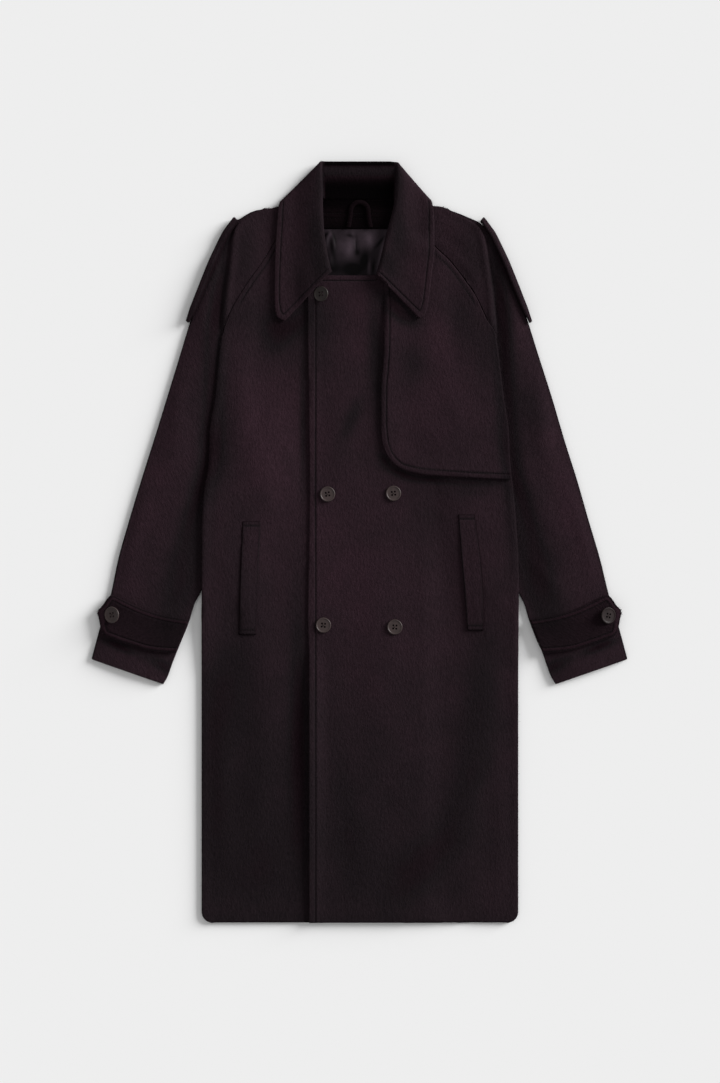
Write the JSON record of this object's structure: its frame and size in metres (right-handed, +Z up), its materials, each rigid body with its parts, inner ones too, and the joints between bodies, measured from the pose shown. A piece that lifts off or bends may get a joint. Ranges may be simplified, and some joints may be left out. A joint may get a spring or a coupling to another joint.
{
  "type": "wool coat",
  "caption": "Long double-breasted dark wool coat with raglan sleeves, laid flat, front up.",
  "frame": {"origin": "centre of the bounding box's bottom face, on the surface that the coat lies on", "axes": "+Z up from the surface, out of the coat's front; +Y from the hem to the collar; +X to the wearer's left"},
  "size_m": [0.9104, 1.292, 0.0281],
  "materials": {
    "wool": "brushed wool coating",
    "satin": "satin lining",
    "button": "satin"
  },
  "bodies": {
    "root": {"back": "wool", "back_neck_facing": "wool", "lining": "satin", "hanger_loop": "wool", "front_left": "wool", "front_right": "wool", "sleeve_front_left": "wool", "sleeve_front_right": "wool", "sleeve_back_left": "wool", "sleeve_back_right": "wool", "collar": "wool", "storm_flap": "wool", "pocket_welt_left": "wool", "pocket_welt_right": "wool", "epaulette_left": "wool", "epaulette_right": "wool", "cuff_strap_left": "wool", "cuff_strap_right": "wool", "button_top": "button", "button_middle_left": "button", "button_middle_right": "button", "button_lower_left": "button", "button_lower_right": "button", "cuff_button_left": "button", "cuff_button_right": "button"}
  },
  "joints": []
}
